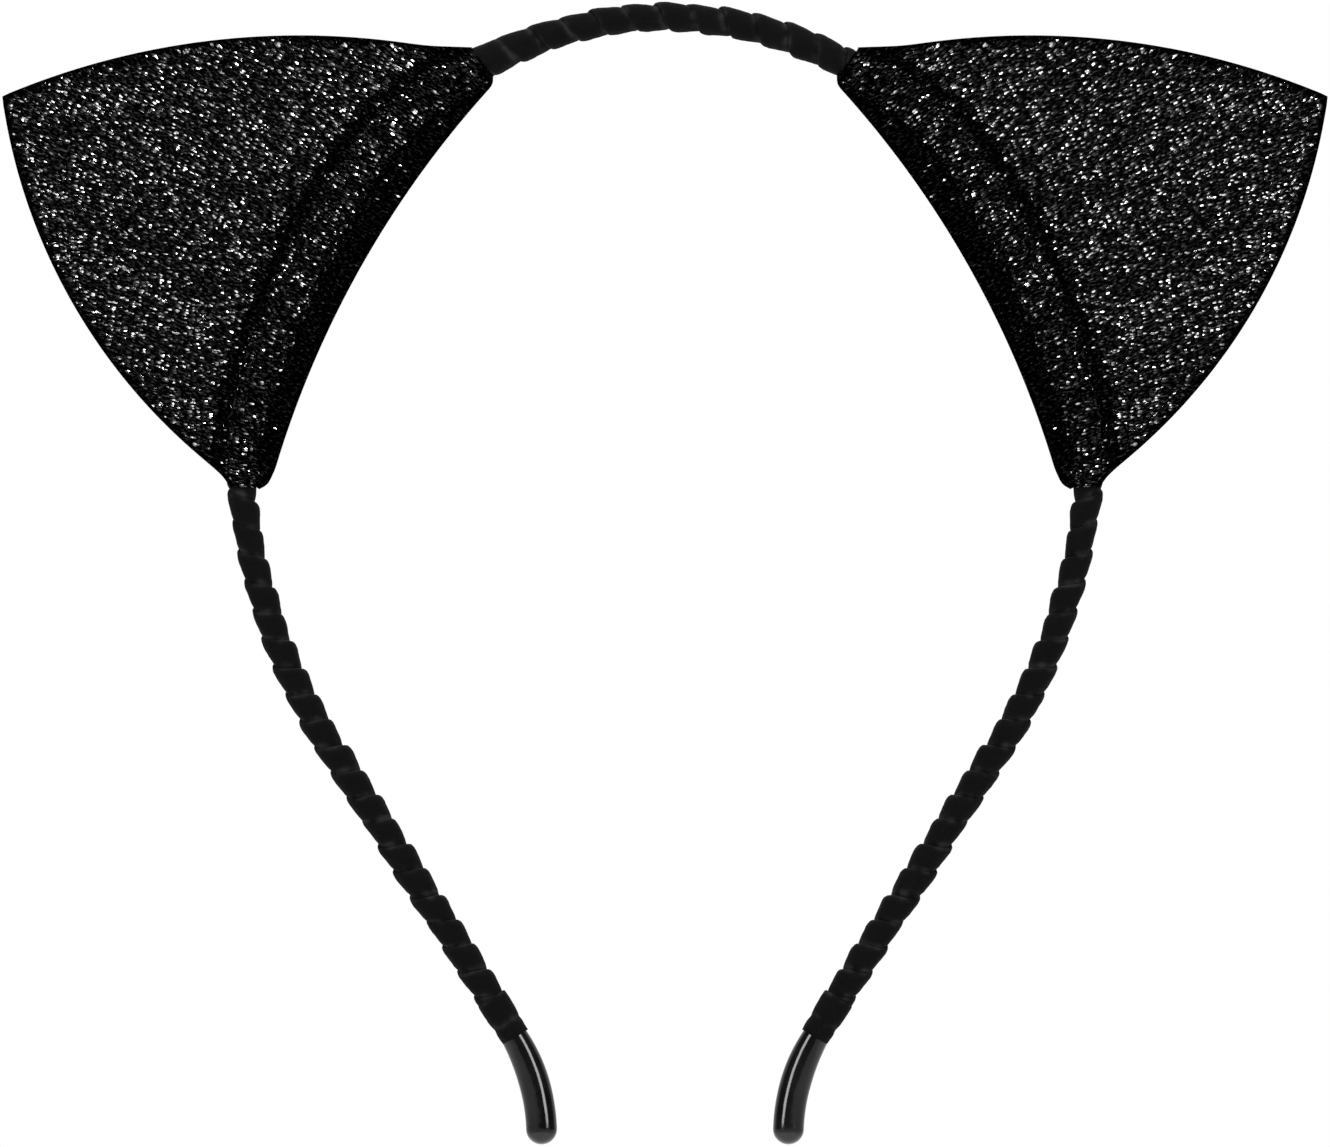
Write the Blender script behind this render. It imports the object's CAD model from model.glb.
import math

import bpy
import numpy as np
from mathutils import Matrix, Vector, noise


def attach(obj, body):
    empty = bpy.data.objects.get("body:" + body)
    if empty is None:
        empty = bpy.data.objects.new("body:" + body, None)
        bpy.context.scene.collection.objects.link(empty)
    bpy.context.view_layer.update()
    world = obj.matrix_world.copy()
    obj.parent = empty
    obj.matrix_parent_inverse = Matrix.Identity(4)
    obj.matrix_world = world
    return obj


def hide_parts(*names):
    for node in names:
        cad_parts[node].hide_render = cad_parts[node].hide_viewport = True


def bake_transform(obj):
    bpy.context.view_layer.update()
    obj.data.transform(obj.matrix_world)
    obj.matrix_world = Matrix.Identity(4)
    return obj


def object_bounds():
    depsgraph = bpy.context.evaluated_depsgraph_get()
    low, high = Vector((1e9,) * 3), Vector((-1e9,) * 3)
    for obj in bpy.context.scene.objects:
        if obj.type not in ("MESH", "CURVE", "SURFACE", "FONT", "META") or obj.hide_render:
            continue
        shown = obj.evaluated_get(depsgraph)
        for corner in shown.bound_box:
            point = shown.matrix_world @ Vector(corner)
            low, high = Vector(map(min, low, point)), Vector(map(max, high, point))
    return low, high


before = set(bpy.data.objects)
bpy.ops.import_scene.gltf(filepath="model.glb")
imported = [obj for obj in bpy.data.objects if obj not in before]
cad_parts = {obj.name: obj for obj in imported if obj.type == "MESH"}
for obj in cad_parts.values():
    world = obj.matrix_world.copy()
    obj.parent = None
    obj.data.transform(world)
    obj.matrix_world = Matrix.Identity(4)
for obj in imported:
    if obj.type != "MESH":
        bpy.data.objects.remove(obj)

CAD_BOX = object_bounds()
MM = 0.001
TURN = 2 * math.pi

# ---------------------------------------------------------------- driving dimensions, in millimetres

# One side of the band from the middle of the crown: (bend radius, turn in degrees), or (0, length)
STRETCHES = (
    (52.0, 28.6), (105.0, 5.5), (29.0, 24.0), (165.0, 13.5),
    (24.0, 23.5), (84.0, 27.5), (0.0, 46.5), (27.0, -30.6),
)
BAND_R = 2.0
CORE_R = 0.9

# Velvet ribbon: its width, and its thickness over the crown and on the arms
RIBBON_W = 6.4
CROWN_T = 0.46
ARM_T = 0.52
# How far its underside stands off the wire, on the arms and over the crown
UNDERLAY = 0.03
CROWN_UNDERLAY = 0.18
# How far in from its free edge it is rounded
RIBBON_EDGE = 1.45
# How much looser the ribbon gets towards the left and the right ear
CROWN_SWELL = (0.30, 0.16)
# How far its outer side stands away from the wire at the left ear
CROWN_LIFT = 0.45
# Distance from one turn to the next
CROWN_PITCH = 4.45
ARM_PITCH = 4.15

# Where the ear starts and ends along the band
MOUTH_TOP_S = 26.5
MOUTH_LOW_S = 94.0
# Ear, in its own plane: x towards the crown, y outwards, z to the front
EAR_TIP = (-6.5, 54.7)
UPPER_EDGE_R = 105.6
LOWER_EDGE_R = 80.0
FOLD_EDGE_R = 138.0
# Line that it folds along, where its faces start beyond that line, and the channel round the band
CHANNEL_R = 2.45
# Crease above the band: (distance along the band, distance out from it)
CREASE = ((26.5, 4.4), (37.0, 3.4), (56.0, 4.2), (76.0, 4.1), (94.0, 2.8))
# Half thickness of the ear's panel, of the flange under the band, and of the turned edge that joins the faces
PANEL_Z = 1.0
FLANGE_Z = 0.68
EDGE_Z = 0.37
CLOTH_T = 0.34

# Tip cap: radius at its rim and where it has swelled
CAP_RIM_R = 1.85
CAP_R = 2.17

# ---------------------------------------------------------------- the band's centreline


def stretch_table():
    """Start distance, length, start point, start heading, radius and side of each stretch of the left half,
    and the length of them all."""
    rows = []
    s, x, z, h = 0.0, 0.0, BAND_R, math.pi
    for radius, amount in STRETCHES:
        side = -1.0 if radius and amount < 0 else 1.0
        length = radius * abs(math.radians(amount)) if radius else amount
        rows.append((s, length, x, z, h, radius, side))
        if radius:
            h2 = h + side * length / radius
            x += radius * side * (math.sin(h2) - math.sin(h))
            z += radius * side * (math.cos(h) - math.cos(h2))
            h = h2
        else:
            x += length * math.cos(h)
            z += length * math.sin(h)
        s += length
    return rows, s


ROWS, BAND_END = stretch_table()
CAP_RIM_S = ROWS[-1][0]


def band(s):
    """x, z and heading of the left half's centreline at distances s from the middle of the crown."""
    s = np.asarray(s, float)
    x, z, h = np.zeros_like(s), np.zeros_like(s), np.zeros_like(s)
    for k, (s0, length, x0, z0, h0, radius, side) in enumerate(ROWS):
        last = k == len(ROWS) - 1
        here = (s >= s0 if k else s >= -1e9) & ((s < s0 + length) | last)
        d = s[here] - s0
        if radius:
            h2 = h0 + side * d / radius
            x[here] = x0 + radius * side * (np.sin(h2) - math.sin(h0))
            z[here] = z0 + radius * side * (math.cos(h0) - np.cos(h2))
            h[here] = h2
        else:
            x[here] = x0 + d * math.cos(h0)
            z[here] = z0 + d * math.sin(h0)
            h[here] = h0
    return x, z, h


def around(u, phi, r):
    """Points at radius r round the band. u is the distance from the middle, below 0 on the left.
    phi is 0 away from the head, a quarter turn at the front."""
    x, z, h = band(np.abs(u))
    px = x + r * np.cos(phi) * np.sin(h)
    pz = z - r * np.cos(phi) * np.cos(h)
    py = -r * np.sin(phi)
    return np.stack([np.where(u > 0, -px, px), py, pz], -1)


# ---------------------------------------------------------------- mesh helpers


def smooth(t):
    t = np.clip(t, 0, 1)
    return t * t * (3 - 2 * t)


def hills(points, size, seed):
    """Smooth noise from about -1 to 1 at each point, with features of that size."""
    shift = Vector((seed * 17.3, seed * 5.1, seed * 9.7))
    values = [noise.noise(Vector(p) / size + shift) for p in points.reshape(-1, 3)]
    return np.array(values).reshape(points.shape[:-1])


def new_object(name, verts, faces, finish):
    mesh = bpy.data.meshes.new(name)
    mesh.from_pydata((np.asarray(verts, float) * MM).tolist(), [], faces)
    mesh.validate()
    mesh.polygons.foreach_set("use_smooth", [True] * len(mesh.polygons))
    mesh.materials.append(finish)
    mesh.update()
    o = bpy.data.objects.new(name, mesh)
    bpy.context.scene.collection.objects.link(o)
    return o


def paint(o, name, values):
    """Stores one value for each point of an object, for its material to read."""
    o.data.attributes.new(name, "FLOAT", "POINT").data.foreach_set("value", values.astype(np.float32).ravel())


def grid_faces(rows, columns, round_columns=False, flip=False):
    """Quads of a grid whose points are numbered row by row."""
    faces = []
    for i in range(rows - 1):
        for j in range(columns if round_columns else columns - 1):
            k = (j + 1) % columns
            quad = (i * columns + j, i * columns + k, (i + 1) * columns + k, (i + 1) * columns + j)
            faces.append(quad[::-1] if flip else quad)
    return faces


# ---------------------------------------------------------------- materials


def material(name):
    m = bpy.data.materials.new(name)
    m.use_nodes = True
    return m, m.node_tree, m.node_tree.nodes["Principled BSDF"]


def node(tree, kind, **values):
    n = tree.nodes.new(kind)
    for key, value in values.items():
        if key in n.inputs:
            n.inputs[key].default_value = value
        else:
            setattr(n, key, value)
    return n


def maths(tree, operation, a, b=None, clamp=False):
    n = tree.nodes.new("ShaderNodeMath")
    n.operation = operation
    n.use_clamp = clamp
    for socket, value in zip(n.inputs, (a, b)):
        if value is None:
            continue
        if isinstance(value, (int, float)):
            socket.default_value = value
        else:
            tree.links.new(value, socket)
    return n.outputs[0]


def ramp(tree, source, stops):
    n = tree.nodes.new("ShaderNodeValToRGB")
    elements = n.color_ramp.elements
    while len(elements) < len(stops):
        elements.new(0.5)
    for element, (place, grey) in zip(elements, stops):
        element.position = place
        element.color = (grey[0], grey[1], grey[2], 1) if isinstance(grey, tuple) else (grey, grey, grey, 1)
    tree.links.new(source, n.inputs["Fac"])
    return n.outputs["Color"]


def stretched(tree, uv, turn, long, wide):
    """Flat cloth coordinates whose unit square lies turned by so many degrees, that long and that wide."""
    n = node(tree, "ShaderNodeMapping", vector_type="TEXTURE")
    n.inputs["Rotation"].default_value = (0, 0, math.radians(turn))
    n.inputs["Scale"].default_value = (long, wide, 1)
    tree.links.new(uv, n.inputs["Vector"])
    return n.outputs["Vector"]


def vectors(tree, operation, *values):
    """A vector operation on sockets and plain vectors."""
    n = node(tree, "ShaderNodeVectorMath", operation=operation)
    for socket, value in zip(n.inputs, values):
        if isinstance(value, tuple):
            socket.default_value = value
        else:
            tree.links.new(value, socket)
    return n.outputs["Vector"]


def relief(tree, shader, height, strength, distance, normal=None):
    n = node(tree, "ShaderNodeBump", Strength=strength, Distance=distance)
    tree.links.new(height, n.inputs["Height"])
    if normal is not None:
        tree.links.new(normal, n.inputs["Normal"])
    tree.links.new(n.outputs["Normal"], shader.inputs["Normal"])


VELVET_TONES = (
    (0.38, (0.0002, 0.0002, 0.0002)),
    (0.62, (0.0017, 0.0017, 0.0018)),
    (1.0, (0.010, 0.010, 0.0097)),
)
BRUSHED_GLOW = 0.42


def velvet():
    """Matte pile: short soft fibres, hardly any shine, a faint grey bloom at grazing angles."""
    m, tree, shader = material("velvet_ribbon")
    place = node(tree, "ShaderNodeTexCoord")
    pile = node(tree, "ShaderNodeTexNoise", Scale=6500.0, Detail=4.0, Roughness=0.8)
    patches = node(tree, "ShaderNodeTexNoise", Scale=420.0, Detail=4.0, Roughness=0.6)
    for n in (pile, patches):
        tree.links.new(place.outputs["Object"], n.inputs["Vector"])
    mixed = maths(tree, "ADD", maths(tree, "MULTIPLY", pile.outputs["Fac"], 0.5),
                  maths(tree, "MULTIPLY", patches.outputs["Fac"], 0.5))
    brushed = node(tree, "ShaderNodeAttribute", attribute_name="brushed").outputs["Fac"]
    tone = maths(tree, "ADD", mixed, maths(tree, "MULTIPLY", brushed, BRUSHED_GLOW))
    tree.links.new(ramp(tree, tone, VELVET_TONES), shader.inputs["Base Color"])
    rough = ramp(tree, patches.outputs["Fac"], [(0.3, 0.86), (0.7, 1.0)])
    tree.links.new(rough, shader.inputs["Roughness"])
    relief(tree, shader, mixed, 0.9, 0.0002)
    shader.inputs["Specular IOR Level"].default_value = 0.05
    shader.inputs["Sheen Weight"].default_value = 0.02
    shader.inputs["Sheen Roughness"].default_value = 0.35
    shader.inputs["Sheen Tint"].default_value = (0.8, 0.8, 0.82, 1)
    return m


# Darkest and brightest head, and how much rarer the bright ones are
FLAKE_GREY = (0.015, 0.95)
FLAKE_CONTRAST = 1.8
# Radius of a flake in its cell, where on it the head starts, and how fast the head dims
FLAKE_SIZE = 0.42
HEAD_FROM = 0.45
HEAD_FADE = 1.5
TAIL_TAPER = 1.3
TAIL_START = 0.2
TAIL_GREY = 0.09


def flakes(tree, uv, turn, long, wide, share, density):
    """One layer of glitter in cells of that length and width. Each flake is a bright head that points to the
    band and a dim tail that narrows behind it. Gives where the heads are, the grey of heads and tails, where
    both are, and the random lean of each head."""
    place = stretched(tree, uv, turn, long, wide)
    cells = node(tree, "ShaderNodeTexVoronoi", voronoi_dimensions="2D", Scale=1.0, Randomness=0.9)
    tree.links.new(place, cells.inputs["Vector"])
    chance = node(tree, "ShaderNodeTexWhiteNoise", noise_dimensions="2D")
    tree.links.new(cells.outputs["Position"], chance.inputs["Vector"])
    split = node(tree, "ShaderNodeSeparateColor")
    tree.links.new(cells.outputs["Color"], split.inputs["Color"])
    parts = node(tree, "ShaderNodeSeparateXYZ")
    tree.links.new(vectors(tree, "SUBTRACT", place, cells.outputs["Position"]), parts.inputs["Vector"])
    along, across = parts.outputs["X"], parts.outputs["Y"]
    narrowing = maths(tree, "ADD", maths(tree, "MULTIPLY", along, TAIL_TAPER), 1.0 + TAIL_TAPER * TAIL_START)
    squeezed = maths(tree, "MULTIPLY", across, narrowing)
    reach = maths(tree, "SQRT", maths(tree, "ADD", maths(tree, "MULTIPLY", along, along),
                                      maths(tree, "MULTIPLY", squeezed, squeezed)))
    near = maths(tree, "LESS_THAN", reach, FLAKE_SIZE)
    chosen = maths(tree, "LESS_THAN", split.outputs["Red"], maths(tree, "MULTIPLY", density, share))
    flake = maths(tree, "MULTIPLY", near, chosen)
    forward = maths(tree, "SUBTRACT", 0.5, maths(tree, "MULTIPLY", along, 0.5 / FLAKE_SIZE), clamp=True)
    head = maths(tree, "MULTIPLY", flake, maths(tree, "GREATER_THAN", forward, HEAD_FROM))
    strength = maths(tree, "POWER", split.outputs["Green"], FLAKE_CONTRAST)
    darkest, brightest = FLAKE_GREY
    bright = maths(tree, "ADD", maths(tree, "MULTIPLY", strength, brightest - darkest), darkest)
    glow = maths(tree, "MULTIPLY", bright, maths(tree, "POWER", forward, HEAD_FADE))
    tail = maths(tree, "MULTIPLY", maths(tree, "MULTIPLY", forward, TAIL_GREY), split.outputs["Blue"])
    grey = maths(tree, "MAXIMUM", maths(tree, "MULTIPLY", glow, head), maths(tree, "MULTIPLY", tail, flake))
    lean = node(tree, "ShaderNodeVectorMath", operation="SCALE")
    tree.links.new(vectors(tree, "SUBTRACT", chance.outputs["Color"], (0.5, 0.5, 0.5)), lean.inputs[0])
    tree.links.new(head, lean.inputs["Scale"])
    return head, grey, flake, lean.outputs["Vector"]


# Two layers towards the crown and two towards the arm: (direction in degrees, length, width, share of cells)
UPPER_FLAKES = ((91, 1.15, 0.34, 0.42), (97, 0.95, 0.27, 0.34))
LOWER_FLAKES = ((110, 1.10, 0.34, 0.42), (117, 0.92, 0.27, 0.34))
# How full the layers are in broad drifts and in narrow ranks across the ear
DRIFT_SHARES = ((0.36, 0.6), (0.5, 0.9), (0.64, 1.0))
RANK_SHARES = ((0.38, 0.25), (0.56, 1.0))
CLOTH_TONES = ((0.49, 0.0001), (0.59, 0.0035), (0.74, 0.03))
# How much darker the cloth is where it carries no glitter
BARE_SHADE = 0.07
PEBBLE_DEPTH = -0.10
GRAIN_DEPTH = 0.06


def colour_socket(sockets, name):
    return next(s for s in sockets if s.name == name and s.type == "RGBA")


def glitter():
    """Pebbly black cloth with silver flakes that lie in slanted rows, each leaning its own way."""
    m, tree, shader = material("glitter_fabric")
    uv = node(tree, "ShaderNodeUVMap", uv_map="flat").outputs["UV"]
    shown = node(tree, "ShaderNodeAttribute", attribute_name="glitter").outputs["Fac"]
    low = node(tree, "ShaderNodeAttribute", attribute_name="low_end").outputs["Fac"]
    drifts = node(tree, "ShaderNodeTexNoise", noise_dimensions="2D", Scale=0.3, Detail=2.0, Roughness=0.6)
    tree.links.new(uv, drifts.inputs["Vector"])
    density = maths(tree, "MULTIPLY", shown, ramp(tree, drifts.outputs["Fac"], DRIFT_SHARES))
    ranks = node(tree, "ShaderNodeTexNoise", noise_dimensions="2D", Scale=1.0, Detail=1.0)
    tree.links.new(stretched(tree, uv, 96, 4.0, 0.9), ranks.inputs["Vector"])
    density = maths(tree, "MULTIPLY", density, ramp(tree, ranks.outputs["Fac"], RANK_SHARES))
    upper = maths(tree, "MULTIPLY", density, maths(tree, "SUBTRACT", 1.0, low))
    lower = maths(tree, "MULTIPLY", density, low)
    layers = [flakes(tree, uv, *kind, upper) for kind in UPPER_FLAKES]
    layers += [flakes(tree, uv, *kind, lower) for kind in LOWER_FLAKES]
    mask, grey, flake, lean = layers[0]
    for other_mask, other_grey, other_flake, other_lean in layers[1:]:
        mask = maths(tree, "MAXIMUM", mask, other_mask)
        grey = maths(tree, "MAXIMUM", grey, other_grey)
        flake = maths(tree, "MAXIMUM", flake, other_flake)
        lean = vectors(tree, "ADD", lean, other_lean)
    pebbles = node(tree, "ShaderNodeTexVoronoi", voronoi_dimensions="2D", Scale=1.9, feature="SMOOTH_F1")
    tree.links.new(uv, pebbles.inputs["Vector"])
    grain = node(tree, "ShaderNodeTexNoise", noise_dimensions="2D", Scale=1.3, Detail=3.0, Roughness=0.7)
    tree.links.new(stretched(tree, uv, 97, 1.0, 0.34), grain.inputs["Vector"])
    bare = maths(tree, "MULTIPLY", maths(tree, "SUBTRACT", 1.0, shown), BARE_SHADE)
    cloth = ramp(tree, maths(tree, "SUBTRACT", grain.outputs["Fac"], bare), CLOTH_TONES)
    mix = node(tree, "ShaderNodeMix", data_type="RGBA")
    tree.links.new(flake, mix.inputs["Factor"])
    tree.links.new(cloth, colour_socket(mix.inputs, "A"))
    tree.links.new(grey, colour_socket(mix.inputs, "B"))
    tree.links.new(colour_socket(mix.outputs, "Result"), shader.inputs["Base Color"])
    tree.links.new(mask, shader.inputs["Metallic"])
    rough = maths(tree, "SUBTRACT", 0.75, maths(tree, "MULTIPLY", mask, 0.55))
    tree.links.new(rough, shader.inputs["Roughness"])
    surface = node(tree, "ShaderNodeNewGeometry")
    facing = vectors(tree, "NORMALIZE", vectors(tree, "ADD", surface.outputs["Normal"], lean))
    height = maths(tree, "ADD", maths(tree, "MULTIPLY", pebbles.outputs["Distance"], PEBBLE_DEPTH),
                   maths(tree, "MULTIPLY", grain.outputs["Fac"], GRAIN_DEPTH))
    relief(tree, shader, height, 0.7, 0.001, facing)
    shader.inputs["Specular IOR Level"].default_value = 0.0
    return m


CAP_TONES = ((0.3, (0.0012, 0.0012, 0.0013)), (0.7, (0.0035, 0.0035, 0.0037)))


def cap_plastic():
    """Dipped black plastic: glossy, with the faint unevenness of a coat that set as it ran."""
    m, tree, shader = material("cap_plastic")
    place = node(tree, "ShaderNodeTexCoord")
    waves = node(tree, "ShaderNodeTexNoise", Scale=260.0, Detail=2.0)
    dust = node(tree, "ShaderNodeTexNoise", Scale=3000.0, Detail=3.0, Roughness=0.6)
    for n in (waves, dust):
        tree.links.new(place.outputs["Object"], n.inputs["Vector"])
    tree.links.new(ramp(tree, waves.outputs["Fac"], CAP_TONES), shader.inputs["Base Color"])
    tree.links.new(ramp(tree, dust.outputs["Fac"], [(0.35, 0.09), (0.75, 0.16)]), shader.inputs["Roughness"])
    relief(tree, shader, waves.outputs["Fac"], 0.25, 0.0002)
    shader.inputs["Specular IOR Level"].default_value = 0.25
    return m


def steel(name, grey):
    """Drawn wire, finely uneven."""
    m, tree, shader = material(name)
    place = node(tree, "ShaderNodeTexCoord")
    lines = node(tree, "ShaderNodeTexNoise", Scale=1800.0, Detail=4.0, Roughness=0.7)
    tree.links.new(place.outputs["Object"], lines.inputs["Vector"])
    tones = [(0.3, grey * 0.75), (0.7, grey)]
    tree.links.new(ramp(tree, lines.outputs["Fac"], tones), shader.inputs["Base Color"])
    tree.links.new(ramp(tree, lines.outputs["Fac"], [(0.3, 0.2), (0.7, 0.4)]), shader.inputs["Roughness"])
    shader.inputs["Metallic"].default_value = 1.0
    return m


def felt():
    """Dark grey felt with matted fibres."""
    m, tree, shader = material("interlining")
    place = node(tree, "ShaderNodeTexCoord")
    mat = node(tree, "ShaderNodeTexNoise", Scale=1400.0, Detail=6.0, Roughness=0.75)
    tree.links.new(place.outputs["Object"], mat.inputs["Vector"])
    tree.links.new(ramp(tree, mat.outputs["Fac"], [(0.3, 0.04), (0.7, 0.11)]), shader.inputs["Base Color"])
    relief(tree, shader, mat.outputs["Fac"], 0.6, 0.0002)
    shader.inputs["Roughness"].default_value = 0.95
    return m


def pale_floor():
    m, tree, shader = material("pale_floor")
    place = node(tree, "ShaderNodeTexCoord")
    soft = node(tree, "ShaderNodeTexNoise", Scale=3.0, Detail=2.0)
    tree.links.new(place.outputs["Object"], soft.inputs["Vector"])
    tree.links.new(ramp(tree, soft.outputs["Fac"], [(0.3, 0.84), (0.7, 0.88)]), shader.inputs["Base Color"])
    shader.inputs["Roughness"].default_value = 0.8
    return m


# ---------------------------------------------------------------- camera, light and floor

# Distances in metres
CAMERA_AWAY = 1.5
VIEW_MARGIN = 1.007
SENSOR = 36.0
FLOOR_DROP = 0.45
FLOOR_SIZE = 12.0
# Strength of the sun overhead, and of what the object mirrors in front of it and behind it
OVERHEAD = 2.6
DARK_ROOM = 0.02
PALE_SWEEP = 0.9


def camera():
    low, high = (Vector(c) for c in CAD_BOX)
    middle = (low + high) / 2
    width = (high.x - low.x) * VIEW_MARGIN
    data = bpy.data.cameras.new("camera")
    data.sensor_width = SENSOR
    data.lens = SENSOR * CAMERA_AWAY / width
    data.clip_start = 0.05
    data.clip_end = 20
    o = bpy.data.objects.new("camera", data)
    o.location = (middle.x, middle.y - CAMERA_AWAY, middle.z)
    o.rotation_euler = (math.pi / 2, 0, 0)
    bpy.context.scene.collection.objects.link(o)
    bpy.context.scene.camera = o


def softbox(name, place, target, size, power):
    data = bpy.data.lights.new(name, "AREA")
    data.shape = "RECTANGLE"
    data.size, data.size_y = size
    data.energy = power
    o = bpy.data.objects.new(name, data)
    o.location = place
    o.rotation_euler = (Vector(target) - Vector(place)).to_track_quat("-Z", "Y").to_euler()
    bpy.context.scene.collection.objects.link(o)


def studio():
    middle = (Vector(CAD_BOX[0]) + Vector(CAD_BOX[1])) / 2
    for side, name in ((-1, "softbox_left"), (1, "softbox_right")):
        softbox(name, (side * 0.75, -0.75, middle.z + 0.3), middle, (0.35, 0.8), 17)
    softbox("softbox_top", (0, -0.25, middle.z + 1.0), middle, (0.9, 0.5), 7)
    softbox("softbox_back", (0, 0.9, middle.z + 0.5), middle, (1.0, 0.6), 6)
    data = bpy.data.lights.new("overhead", "SUN")
    data.energy = OVERHEAD
    data.angle = math.radians(50)
    bpy.context.scene.collection.objects.link(bpy.data.objects.new("overhead", data))
    world = bpy.data.worlds.new("studio")
    bpy.context.scene.world = world
    world.use_nodes = True
    tree = world.node_tree
    background = tree.nodes["Background"]
    background.inputs["Color"].default_value = (1, 1, 1, 1)
    seen = tree.nodes.new("ShaderNodeLightPath")
    way = node(tree, "ShaderNodeTexCoord")
    parts = node(tree, "ShaderNodeSeparateXYZ")
    tree.links.new(way.outputs["Generated"], parts.inputs["Vector"])
    behind = node(tree, "ShaderNodeMapRange", interpolation_type="SMOOTHSTEP")
    tree.links.new(parts.outputs["Y"], behind.inputs["Value"])
    fade = {"From Min": 0.1, "From Max": 0.6, "To Min": DARK_ROOM, "To Max": PALE_SWEEP}
    for socket, value in fade.items():
        behind.inputs[socket].default_value = value
    strength = maths(tree, "MAXIMUM", seen.outputs["Is Camera Ray"], behind.outputs["Result"])
    tree.links.new(strength, background.inputs["Strength"])
    bpy.context.scene.view_settings.view_transform = "Standard"


def pale_ground():
    low, high = (Vector(c) for c in CAD_BOX)
    middle = (low + high) / 2
    bpy.ops.mesh.primitive_plane_add(size=FLOOR_SIZE, location=(middle.x, middle.y, low.z - FLOOR_DROP))
    floor = bpy.context.object
    floor.name = "floor"
    floor.data.materials.append(pale_floor())


# ---------------------------------------------------------------- velvet ribbon


def ribbon_profile():
    """Points of the ribbon's cross-section: place across it, 0 tucked to 1 free, and 1 on top or 0 below."""
    top = (0.0, 0.12, 0.22, 0.29, 0.33, 0.36, 0.42, 0.5, 0.58, 0.66, 0.74, 0.81, 0.87, 0.92, 0.955, 0.98, 1.0)
    below = (1.0, 0.8, 0.55, 0.3, 0.0)
    return [(a, 1.0) for a in top] + [(a, 0.0) for a in below]


STEPS_PER_TURN = 44
# At the cap the ribbon goes round at least this many turns more over itself, and ends at the back
LAST_TURN = 0.8
BACK_OF_BAND = 0.75
# How much the ribbon's width and thickness wander
WIDTH_WANDER = 0.08
LOOSE_WANDER = 0.22
# How much thicker it lies on the arm's inner side than on its outer, and where on the arm that grows
INNER_LOOSE = 0.1
LOW_ARM = 112
LOW_ARM_FADE = 45
# Thickness left at the ribbon's free edge, and how deep its seam sinks on the arms and over the crown
EDGE_RISE = 0.1
ARM_SEAM = 0.15
CROWN_SEAM_DEPTH = 0.08
# Over the cap's rim: where the ribbon starts to climb, over what length, and how much it thins and levels
RIM_CLIMB = 0.8
RIM_CLIMB_LENGTH = 2.6
RIM_THINNING = 0.88
RIM_LEVELLING = 0.95


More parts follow.
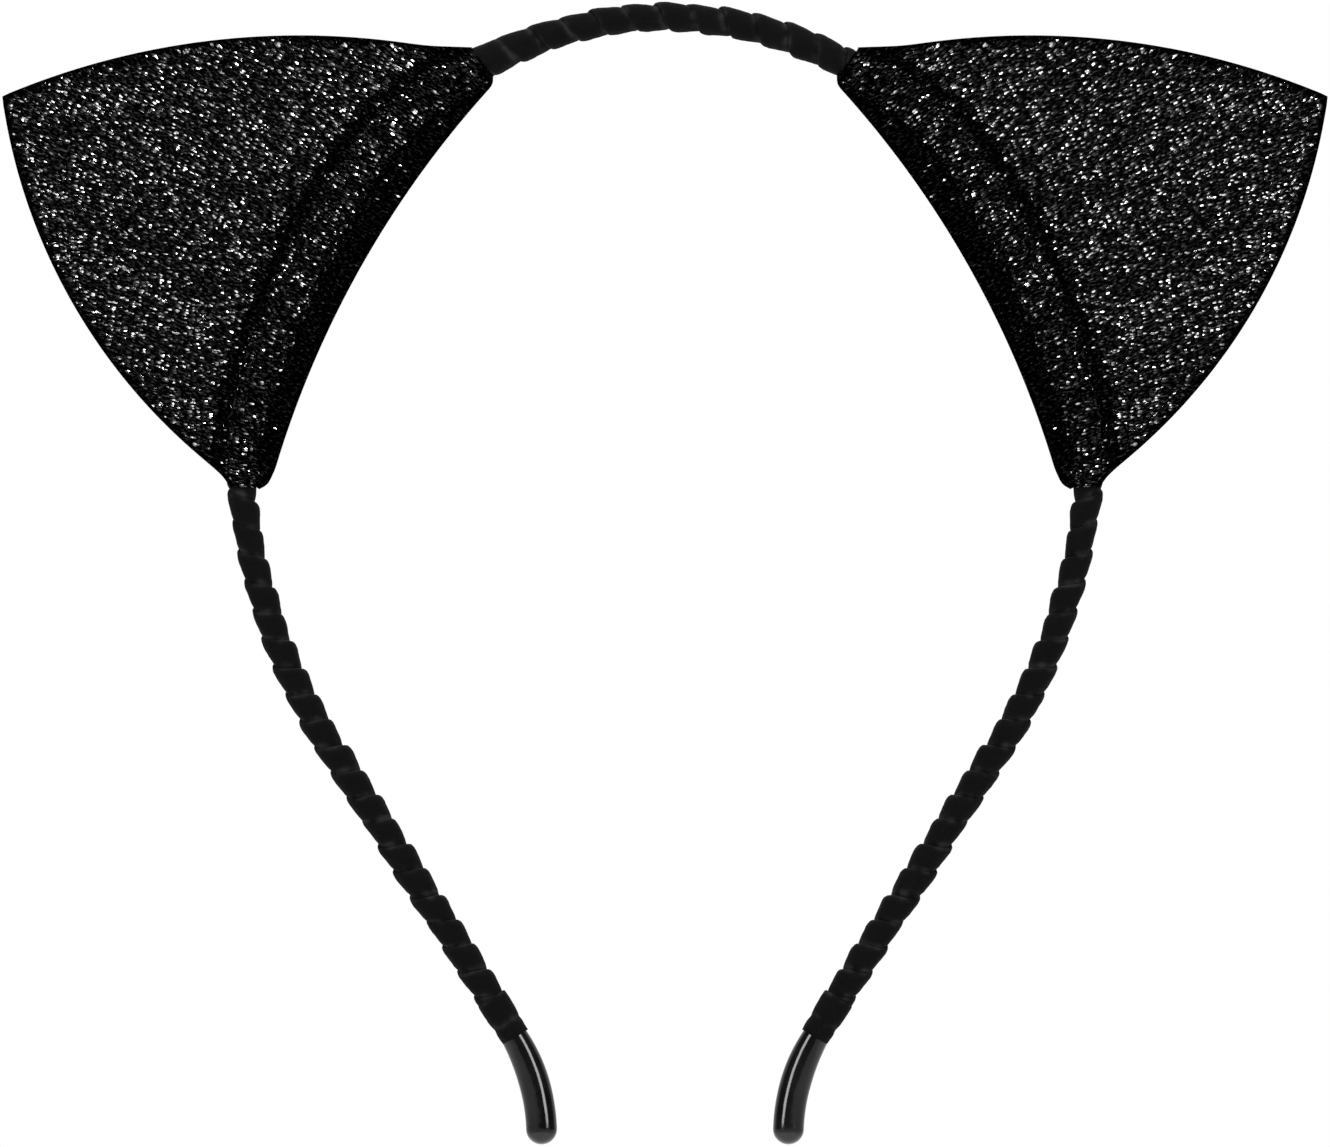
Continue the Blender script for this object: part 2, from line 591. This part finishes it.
def wound_ribbon(name, start, end, pitch, thickness, side, phase, seed, squeeze=None, rim=None):
    """A ribbon wound round the band from start to end, each turn lying over the edge of the next.
    side is -1 or 1 for an arm, whose distances run down from the crown, and 0 over the crown, left to right.
    squeeze thins it inside an ear, and rim is where it climbs over a cap."""
    profile = ribbon_profile()
    last = end
    if rim is not None:
        last += pitch * (LAST_TURN + (BACK_OF_BAND - (end - phase) / pitch - LAST_TURN) % 1)
    count = max(2, int(round((last - start) / pitch * STEPS_PER_TURN)) + 1)
    c = np.linspace(start, last, count)
    across = np.array([p[0] for p in profile])[None, :]
    on_top = np.array([p[1] for p in profile])[None, :]
    turns = (c - phase) / pitch
    again = np.clip((c[:, None] - end) / pitch, 0, None)
    c = np.minimum(c, end)
    phi = TURN * turns[:, None]
    wobble = np.array([noise.noise(Vector((t * 0.83, seed, 0.5))) for t in turns])[:, None]
    wander = np.array([noise.noise(Vector((t * 2.1, seed + 7.7, 1.5))) for t in turns])[:, None]
    width = RIBBON_W * (1 + WIDTH_WANDER * wobble)
    a = across * width
    loose = 1 + LOOSE_WANDER * wander
    if side:
        low = smooth((c[:, None] - LOW_ARM) / LOW_ARM_FADE)
        loose = loose + INNER_LOOSE * (low - (1 + low) * np.cos(phi))
    thick = thickness * loose
    slope = thick / pitch
    if side:
        base = (CORE_R + UNDERLAY) * np.ones((count, 1))
    else:
        swell = np.where(c < 0, CROWN_SWELL[0], CROWN_SWELL[1])[:, None]
        base = CORE_R + CROWN_UNDERLAY + swell * smooth((np.abs(c[:, None]) - 8) / 14)
    if rim is not None:
        over = smooth((c - rim + RIM_CLIMB) / RIM_CLIMB_LENGTH)[:, None]
        base = base + over * (CAP_RIM_R + 0.02 - base)
        slope = slope * (1 - RIM_LEVELLING * over)
        thick = thick * (1 - RIM_THINNING * over)
    base = base + again * thick
    from_edge = width - a
    rounding = np.sqrt(np.clip(1 - (1 - np.clip(from_edge / RIBBON_EDGE, 0, 1)) ** 2, 0, 1))
    rise = EDGE_RISE + (1 - EDGE_RISE) * rounding
    from_seam = a - (width - pitch)
    pinch = (ARM_SEAM if side else CROWN_SEAM_DEPTH) * np.exp(-((from_seam + 0.05) / 0.5) ** 2)
    r = base + slope * a + on_top * (thick * rise - pinch)
    if not side:
        r = r + CROWN_LIFT * smooth((-c[:, None] - 12) / 12) * (0.5 + 0.5 * np.cos(phi))
    edge_wave = 0.3 * wobble * across + 0.2 * wander * across
    u = c[:, None] - a + edge_wave
    if squeeze is not None:
        r = r * (1 - 0.1 * squeeze(np.abs(u)))
    where = u if side == 0 else side * np.maximum(u, 0.0)
    points = around(where, phi + 0 * u, r)
    fuzz = hills(points, 0.55, seed + 3) * 0.05 + hills(points, 1.7, seed + 5) * 0.07
    points = around(where, phi + 0 * u, r + fuzz * on_top)
    n = len(profile)
    faces = grid_faces(count, n, round_columns=True, flip=side < 0)
    first = tuple(range(n))
    final = tuple((count - 1) * n + k for k in first)
    faces += [first, final[::-1]] if side < 0 else [first[::-1], final]
    o = new_object(name, points.reshape(-1, 3), faces, VELVET)
    brushed = np.exp(-((from_seam - 0.25) / 0.55) ** 2) + 0.8 * np.exp(-(from_edge / 0.5) ** 2)
    brushed = brushed * np.clip(0.55 + 1.3 * hills(points, 1.3, seed + 9), 0, 1.4)
    paint(o, "brushed", brushed)
    return o


def in_sleeve(s):
    """1 inside the ear and 0 outside it."""
    return smooth((s - MOUTH_TOP_S - 1) / 3) * (1 - smooth((s - MOUTH_LOW_S + 2) / 3))


# Where the crown's ribbon ends inside the ears, and where its two halves meet
CROWN_END = 31.0
CROWN_SEAM = 2.0
# Where the first turn of the winding starts, and how far the last one reaches over the cap's rim
PHASE = 0.6
OVER_RIM = 0.9


def ribbons():
    kind = (CROWN_PITCH, CROWN_T, 0, PHASE, 1, in_sleeve)
    left = wound_ribbon("ribbon_crown_left", -CROWN_END, CROWN_SEAM, *kind)
    right = wound_ribbon("ribbon_crown_right", CROWN_SEAM, CROWN_END + 3, *kind)
    for o, side in ((left, "left"), (right, "right")):
        sign = -1 if side == "left" else 1
        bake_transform(o)
    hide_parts("crown_ribbon")
    for sign, side in ((-1, "left"), (1, "right")):
        arm = wound_ribbon("ribbon_arm_" + side, CROWN_END + 2, CAP_RIM_S + OVER_RIM, ARM_PITCH, ARM_T, sign,
                           PHASE, 4, in_sleeve, CAP_RIM_S)
        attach(arm, "side_" + side)
        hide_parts("ribbon_" + side)


# ---------------------------------------------------------------- tip caps

CAP_SEGMENTS = 64
CAP_RINGS = 40
NOSE_RINGS = 16
# Share of the cap's length over which it swells
CAP_SWELLS = 0.6
# Rounded rim: (distance along the cap, distance inside its outer surface)
CAP_LIP = ((-0.35, 0.4), (-0.40, 0.22), (-0.32, 0.08), (-0.15, 0.01))


def tip_cap(side):
    """Smooth bent cap: a rounded rim, a slight swelling towards the end and a round nose."""
    sign = -1 if side == "left" else 1
    rings = [(CAP_RIM_S + d, CAP_RIM_R - inside, 0.0) for d, inside in CAP_LIP]
    for t in np.linspace(0, 1, CAP_RINGS + 1):
        s = CAP_RIM_S + t * (BAND_END - CAP_RIM_S)
        swelling = math.sin(min(t / CAP_SWELLS, 1) * math.pi / 2)
        rings.append((s, CAP_RIM_R + (CAP_R - CAP_RIM_R) * swelling, 0.0))
    for k in range(1, NOSE_RINGS):
        angle = k / NOSE_RINGS * math.pi / 2
        rings.append((BAND_END, CAP_R * math.cos(angle), CAP_R * math.sin(angle)))
    x, z, h = (float(v[0]) for v in band(np.array([BAND_END])))
    onwards = np.array([-sign * math.cos(h), 0, math.sin(h)])
    phi = np.linspace(0, TURN, CAP_SEGMENTS, endpoint=False)
    points = []
    for s, r, beyond in rings:
        ring = around(np.full(CAP_SEGMENTS, sign * s), phi, np.full(CAP_SEGMENTS, r))
        points.append(ring + beyond * onwards)
    points.append([np.array([-sign * x, 0, z]) + CAP_R * onwards])
    points = np.concatenate(points)
    faces = grid_faces(len(rings), CAP_SEGMENTS, round_columns=True, flip=sign < 0)
    tail = (len(rings) - 1) * CAP_SEGMENTS
    for j in range(CAP_SEGMENTS):
        tri = (tail + j, tail + (j + 1) % CAP_SEGMENTS, len(points) - 1)
        faces.append(tri[::-1] if sign < 0 else tri)
    rim = tuple(range(CAP_SEGMENTS))
    faces.append(rim if sign < 0 else rim[::-1])
    o = new_object("tip_cap_shell_" + side, points, faces, CAP)
    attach(o, "side_" + side)
    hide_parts("tip_cap_" + side)


# ---------------------------------------------------------------- ear covers


def ear_plane():
    """Middle of the ear's base line, the directions of x and y in the band's plane, and half that line."""
    x, z, _ = band(np.array([MOUTH_TOP_S, MOUTH_LOW_S]))
    top, low = np.array([x[0], z[0]]), np.array([x[1], z[1]])
    along = (top - low) / np.linalg.norm(top - low)
    return (top + low) / 2, along, np.array([-along[1], along[0]]), np.linalg.norm(top - low) / 2


BASE_MID, EAR_X, EAR_Y, BASE_HALF = ear_plane()
# Corners of the outline: the kinks where the mouths meet the edges, the mouths' ends and the fold's ends
TOP_KINK = (BASE_HALF - 2.4, 8.2)
LOW_KINK = (-BASE_HALF - 2.5, 1.1)
TOP_MOUTH = ((BASE_HALF - 0.65, -1.55), (BASE_HALF + 0.85, 2.5))
LOW_MOUTH = ((-BASE_HALF - 1.75, -4.1), (-BASE_HALF - 3.55, -1.05))
TOP_FOLD = (BASE_HALF - 1.8, -2.25)
LOW_FOLD = (-BASE_HALF + 1.6, -4.5)
LOW_CORNER = (-BASE_HALF - 0.6, -4.75)


def arc(p, q, radius, count):
    """Points from p to q on the circle of that radius whose centre lies to the left of the way."""
    p, q = np.array(p, float), np.array(q, float)
    d = q - p
    length = np.linalg.norm(d)
    centre = (p + q) / 2 + math.sqrt(radius ** 2 - length ** 2 / 4) * np.array([-d[1], d[0]]) / length
    a0 = math.atan2(*(p - centre)[::-1])
    a1 = math.atan2(*(q - centre)[::-1])
    a = a0 + (a1 - a0) * np.linspace(0, 1, count)
    return centre + radius * np.stack([np.cos(a), np.sin(a)], -1)


def by_length(path, count, ease=0.0):
    """count points spread along a line of points, evenly or with more at both ends."""
    d = np.concatenate([[0], np.cumsum(np.linalg.norm(np.diff(path, axis=0), axis=1))])
    t = np.linspace(0, 1, count)
    t = (1 - ease) * t + ease * (1 - np.cos(math.pi * t)) / 2
    return np.stack([np.interp(t * d[-1], d, path[:, k]) for k in (0, 1)], -1)


def line(p, q, count=2):
    return np.array(p)[None, :] + (np.array(q) - np.array(p))[None, :] * np.linspace(0, 1, count)[:, None]


def to_ear(points):
    """Points of the band's plane as ear coordinates."""
    d = points - BASE_MID
    return np.stack([d @ EAR_X, d @ EAR_Y], -1)


# Grid of one face: columns along the outline, and rows out from the fold
KINK_COLUMNS = 12
EDGE_COLUMNS = 66
LOW_COLUMNS = 8
COLUMNS = KINK_COLUMNS + 2 * EDGE_COLUMNS + LOW_COLUMNS + 1
ROWS_TO_BAND = 13
ROWS_TO_CREASE = 13
ROWS_TO_EDGE = 50
ARC_POINTS = 200
# Points along one rib while the band and the crease are looked for on it
RIB_POINTS = 240


def rounded(points, reach):
    """The same line with its corners softened over that many points."""
    out = points.copy()
    for _ in range(reach):
        out[1:-1] = (out[:-2] + 2 * out[1:-1] + out[2:]) / 4
    return out


def ear_outline():
    """Outer and inner ends of the ribs that run across the ear, from the crown mouth to the arm mouth."""
    first = by_length(line(TOP_MOUTH[1], TOP_KINK), KINK_COLUMNS + 1)
    upper = by_length(arc(TOP_KINK, EAR_TIP, UPPER_EDGE_R, ARC_POINTS), EDGE_COLUMNS + 1)
    lower = by_length(arc(EAR_TIP, LOW_KINK, LOWER_EDGE_R, ARC_POINTS), EDGE_COLUMNS + 1)
    last = by_length(line(LOW_KINK, LOW_MOUTH[1]), LOW_COLUMNS + 1)
    top_part = rounded(np.concatenate([first, upper[1:]]), 10)
    low_part = rounded(np.concatenate([lower, last[1:]]), 10)
    outer = np.concatenate([top_part, low_part[1:]])
    fold = np.concatenate([
        line(TOP_MOUTH[0], TOP_FOLD, 8)[:-1],
        arc(TOP_FOLD, LOW_FOLD, FOLD_EDGE_R, ARC_POINTS),
        line(LOW_FOLD, LOW_CORNER, 8)[1:],
        line(LOW_CORNER, LOW_MOUTH[0], 8)[1:],
    ])
    inner = rounded(by_length(fold, COLUMNS, 0.35), 3)
    return outer, inner


def crease_away(s):
    """Distance out from the band to the crease."""
    return np.interp(s, [c[0] for c in CREASE], [c[1] for c in CREASE])


def ear_grid():
    """x, y of every point of one face by column and row, its distance along and from the band, and the outer
    and inner ends of the columns."""
    outer, inner = ear_outline()
    s = np.linspace(MOUTH_TOP_S - 4, MOUTH_LOW_S + 4, 1200)
    x, z, _ = band(s)
    centre = to_ear(np.stack([x, z], -1))
    tangent = np.gradient(centre, axis=0)
    tangent /= np.linalg.norm(tangent, axis=1)[:, None]

    def beside(points):
        gap = points[..., None, :] - centre
        near = np.argmin((gap ** 2).sum(-1), -1)
        d = np.take_along_axis(gap, near[..., None, None], -2)[..., 0, :]
        t = tangent[near]
        return s[near], d[..., 0] * t[..., 1] - d[..., 1] * t[..., 0]

    columns = []
    for p, q in zip(inner, outer):
        near, away = beside(line(p, q, RIB_POINTS))
        t_band = np.argmin(np.abs(away)) / (RIB_POINTS - 1)
        t_crease = np.argmin(np.abs(away - crease_away(near) - 1.2)) / (RIB_POINTS - 1)
        t_crease = min(t_crease, t_band + 0.6 * (1 - t_band))
        t = np.concatenate([
            np.linspace(0, t_band, ROWS_TO_BAND + 1),
            np.linspace(t_band, t_crease, ROWS_TO_CREASE + 1)[1:],
            t_crease + (1 - t_crease) * np.sin(np.linspace(0, 1, ROWS_TO_EDGE + 1)[1:] * math.pi / 2) ** 0.9,
        ])
        columns.append(p[None, :] + (q - p)[None, :] * t[:, None])
    flat = np.array(columns)
    near_s, away = beside(flat)
    return flat, near_s, away, outer, inner


def distance_to(points, poly):
    """Distance of each point from a line of points."""
    best = np.full(points.shape[:-1], 1e9)
    for p, q in zip(poly[:-1], poly[1:]):
        d = q - p
        t = np.clip(((points - p) @ d) / max(d @ d, 1e-12), 0, 1)
        best = np.minimum(best, np.linalg.norm(points - p - t[..., None] * d, axis=-1))
    return best


def quarter_round(distance, radius):
    t = np.clip(distance / radius, 0, 1)
    return np.sqrt(np.clip(1 - (1 - t) ** 2, 0, 1))


# The ridge over the band, the crease above it and how far the panel puffs up beyond that
RIDGE_W = 1.85
CREASE_DEPTH = 0.5
CREASE_W = 0.95
PUFF = 0.35
# Waves of the panel, of the ribbon's turns under the ridge, of the gathers at the mouths and of the flange
PANEL_WAVE = 0.10
RIDGE_WAVE = 0.09
GATHER_WAVE = 0.16
FLANGE_WAVE = 0.07
# Thickness that the edge is rounded down to, and the reach of the rounding at the edge and at the fold
ROUNDED_Z = 0.40
EDGE_ROUND = 1.0
FOLD_ROUND = 0.6


def winding(near_s, away):
    """The ribbon's slanted turns as they press through the cloth, from -1 to 1."""
    return np.cos(near_s * TURN / ARM_PITCH + 0.6 * away)


def from_mouths(near_s):
    """Distance along the band to the nearer end of the ear, below 0 outside it."""
    return np.minimum(near_s - MOUTH_TOP_S, MOUTH_LOW_S - near_s)


def face_height(flat, near_s, away, edge, fold, seed):
    """Half thickness of the ear at each point of one face."""
    from_mouth = from_mouths(near_s)
    panel = smooth((away - 1.0) / 3.0)
    level = FLANGE_Z + (PANEL_Z - FLANGE_Z) * panel
    over_band = np.exp(-(np.abs(away) / RIDGE_W) ** 2.3)
    z = level + (CHANNEL_R - level) * over_band
    above = away - crease_away(near_s)
    z -= CREASE_DEPTH * np.exp(-(above / CREASE_W) ** 2) * smooth(from_mouth / 5)
    z += PUFF * smooth(above / 7) * smooth(edge / 9)
    p3 = np.concatenate([flat, np.full(flat.shape[:-1] + (1,), float(seed))], -1)
    z += PANEL_WAVE * hills(p3, 6.0, seed) * smooth(edge / 3) * panel
    z += RIDGE_WAVE * winding(near_s, away) * np.exp(-(away / 1.6) ** 2)
    gather = np.exp(-np.clip(from_mouth, 0, None) / 3.2)
    z += GATHER_WAVE * gather * np.cos(away * 4.6 + 1.3 * seed) * smooth(edge / 0.8)
    flange = smooth((-away - 1.4) / 1.2)
    z += FLANGE_WAVE * flange * hills(p3, 2.6, seed + 4)
    rim = ROUNDED_Z + (z - ROUNDED_Z) * quarter_round(edge, EDGE_ROUND)
    return np.maximum(rim, EDGE_Z) * quarter_round(fold, FOLD_ROUND)


SETTLE_FRAMES = 22
# Metres for each millimetre while it settles
SETTLE_SCALE = 0.1


def settle(points, faces, held):
    """Lets the cloth slacken and swell a little between the places where it is held.
    The cloth is simulated a hundred times its size, where the solver is steady, and brought back."""
    mesh = bpy.data.meshes.new("settling")
    mesh.from_pydata((points * SETTLE_SCALE).tolist(), [], faces)
    o = bpy.data.objects.new("settling", mesh)
    scene = bpy.context.scene
    scene.collection.objects.link(o)
    group = o.vertex_groups.new(name="held")
    weights = np.round(held, 2)
    for weight in np.unique(weights[weights > 0]):
        group.add(np.nonzero(weights == weight)[0].tolist(), float(weight), "REPLACE")
    cloth = o.modifiers.new("cloth", "CLOTH")
    settings = cloth.settings
    settings.quality = 6
    settings.mass = 0.3
    settings.tension_stiffness = 22
    settings.compression_stiffness = 22
    settings.shear_stiffness = 8
    settings.bending_stiffness = 1.5
    settings.vertex_group_mass = "held"
    settings.pin_stiffness = 1.0
    settings.shrink_min = -0.012
    settings.use_pressure = True
    settings.uniform_pressure_force = 0.35
    settings.effector_weights.gravity = 0
    cloth.collision_settings.use_collision = False
    cloth.point_cache.frame_start = 1
    cloth.point_cache.frame_end = SETTLE_FRAMES
    scene.frame_start = 1
    scene.frame_end = SETTLE_FRAMES
    for f in range(1, SETTLE_FRAMES + 1):
        scene.frame_set(f)
    done = o.evaluated_get(bpy.context.evaluated_depsgraph_get())
    out = np.zeros(len(done.data.vertices) * 3, np.float32)
    done.data.vertices.foreach_get("co", out)
    scene.frame_set(1)
    bpy.data.objects.remove(o)
    bpy.data.meshes.remove(mesh)
    return out.reshape(-1, 3).astype(float) / SETTLE_SCALE


def laid_flat(flat, z):
    """Where each point lies on the flat cloth: further out along its rib by the length its folds take up."""
    step = np.diff(flat, axis=1)
    level = np.linalg.norm(step, axis=-1)
    taken = np.cumsum(np.hypot(level, np.diff(z, axis=1)) - level, axis=1)
    taken = np.concatenate([np.zeros((len(flat), 1)), taken], 1)
    way = flat[:, -1] - flat[:, 0]
    way = way / np.linalg.norm(way, axis=-1)[:, None]
    return flat + taken[..., None] * way[:, None, :]


def glitter_share(near_s, away, edge, fold):
    """Share of the glitter that shows at each point: hardly any in the crease, on the flange, by the crown's
    mouth and at the edges, and less between the ribbon's turns along the ridge."""
    above = away - crease_away(near_s)
    inside = near_s - MOUTH_TOP_S
    ridge = np.exp(-(away / 2.1) ** 4)
    crease = np.exp(-np.abs((above - 0.1) / 1.25) ** 3)
    flange = smooth((-away - 1.7) / 1.1)
    mouth = smooth((6.5 - inside) / 3) * smooth((away - 1.6) / 1.5)
    mouth = np.maximum(mouth, 1 - smooth((inside - 0.2) / 1.5))
    share = 1 - 0.6 * ridge * (0.5 - 0.5 * winding(near_s, away))
    share = share * (1 - 0.96 * crease) * (1 - 0.96 * flange) * (1 - 0.97 * mouth)
    return share * smooth((edge - 0.2) / 0.6) * smooth((fold - 0.1) / 0.6)


def held_share(near_s, away, edge, fold):
    """How firmly each point is held while the cloth settles: at the edges, on the band, in the crease and at
    the mouths."""
    held = np.maximum(1 - smooth(edge / 1.6), 1 - smooth(fold / 0.7))
    held = np.maximum(held, np.exp(-(away / 2.0) ** 4))
    held = np.maximum(held, 0.9 * np.exp(-((away - crease_away(near_s)) / 0.7) ** 2))
    return np.maximum(held, 1 - smooth((from_mouths(near_s) + 0.5) / 2.5))


# How far out each face lies on the flat pattern, and the furthest that a point may settle
PATTERN_GAP = 20.0
MOST_MOVE = 0.45


def ear_sheet():
    """The folded sheet of one ear, in ear coordinates: its outer surface, its faces, its flat pattern and the
    values that its material reads at each point."""
    flat, near_s, away, outer, inner = ear_grid()
    columns, rows = flat.shape[:2]
    edge = distance_to(flat, outer)
    fold = distance_to(flat, inner)
    fold[:, 0] = 0
    points, pattern = [], []
    for seed, sign in ((2, 1.0), (5, -1.0)):
        z = face_height(flat, near_s, away, edge, fold, seed)
        points.append(np.concatenate([flat, sign * z[..., None]], -1))
        spread = laid_flat(flat, z)
        pattern.append(np.stack([spread[..., 0], sign * (spread[..., 1] + PATTERN_GAP)], -1))
    size = columns * rows
    index = np.arange(size).reshape(columns, rows)
    back = index + size
    back[:, 0] = index[:, 0]
    faces = []
    for grid, flip in ((index, True), (back, False)):
        quads = np.stack([grid[:-1, :-1], grid[:-1, 1:], grid[1:, 1:], grid[1:, :-1]], -1).reshape(-1, 4)
        faces += [tuple(q[::-1]) if flip else tuple(q) for q in quads.tolist()]
    used = np.ones(2 * size, bool)
    used[size + np.arange(columns) * rows] = False
    renumber = np.cumsum(used) - 1
    points = np.concatenate([p.reshape(-1, 3) for p in points])[used]
    pattern = np.concatenate([p.reshape(-1, 2) for p in pattern])
    loops = [[pattern[i] for i in f] for f in faces]
    for f, loop in zip(faces, loops):
        if any(i >= size for i in f):
            for k, i in enumerate(f):
                if i < size:
                    loop[k] = np.array([pattern[i][0], -pattern[i][1]])
    faces = [tuple(int(renumber[i]) for i in f) for f in faces]
    shown = np.tile(glitter_share(near_s, away, edge, fold).ravel(), 2)[used]
    held = np.tile(held_share(near_s, away, edge, fold).ravel(), 2)[used]
    moved = settle(points, faces, held) - points
    far = np.linalg.norm(moved, axis=1)
    moved *= np.minimum(1, MOST_MOVE / np.maximum(far, 1e-9))[:, None]
    points = points + moved * (1 - held)[:, None]
    border = pattern[index[:, -1]]
    outward = border - pattern[index[:, -2]]
    turned = border + 2 * EDGE_Z * outward / np.linalg.norm(outward, axis=1)[:, None]
    for i in range(columns - 1):
        rim = (index[i, -1], index[i + 1, -1], back[i + 1, -1], back[i, -1])
        faces.append(tuple(int(renumber[v]) for v in rim))
        loops.append([border[i], border[i + 1], turned[i + 1], turned[i]])
    low_end = smooth((4 - points[:, 0]) / 34)
    return points, faces, loops, (("glitter", shown), ("low_end", low_end))


def ear_cover(side, sheet):
    """One ear's cover from the folded sheet, mirrored on the right, with its thickness and its bend."""
    sign = -1 if side == "left" else 1
    points, faces, loops, painted = sheet
    plane = BASE_MID + points[:, 0:1] * EAR_X + points[:, 1:2] * EAR_Y
    world = np.stack([-sign * plane[:, 0], -points[:, 2], plane[:, 1]], -1)
    turned = [f[::-1] for f in faces] if sign > 0 else faces
    corners = [loop[::-1] for loop in loops] if sign > 0 else loops
    o = new_object("ear_cover_" + side, world, turned, GLITTER)
    uv = o.data.uv_layers.new(name="flat")
    uv.data.foreach_set("uv", np.array([c for loop in corners for c in loop], np.float32).ravel())
    for name, values in painted:
        paint(o, name, values)
    bpy.context.view_layer.objects.active = o
    o.select_set(True)
    shell = o.modifiers.new("cloth_thickness", "SOLIDIFY")
    shell.thickness = CLOTH_T * MM
    shell.offset = -1
    bpy.ops.object.modifier_apply(modifier=shell.name)
    o.select_set(False)
    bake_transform(o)
    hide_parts("ear_sleeve_" + side, "ear_front_" + side, "ear_back_" + side)
    return o


# ---------------------------------------------------------------- build


def dress_frame():
    """The inner CAD pieces keep their shape and get a better finish."""
    finishes = (("core", SPRING), ("crown_core", SPRING), ("ear_wire", EAR_WIRE), ("ear_interlining", FELT))
    for name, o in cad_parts.items():
        for start, finish in finishes:
            if name.startswith(start):
                o.data.materials.clear()
                o.data.materials.append(finish)


camera()
studio()
pale_ground()
VELVET = velvet()
GLITTER = glitter()
CAP = cap_plastic()
SPRING = steel("spring_steel", 0.6)
EAR_WIRE = steel("ear_wire", 0.35)
FELT = felt()
dress_frame()
ribbons()
SHEET = ear_sheet()
for SIDE in ("left", "right"):
    tip_cap(SIDE)
    COVER = ear_cover(SIDE, SHEET)
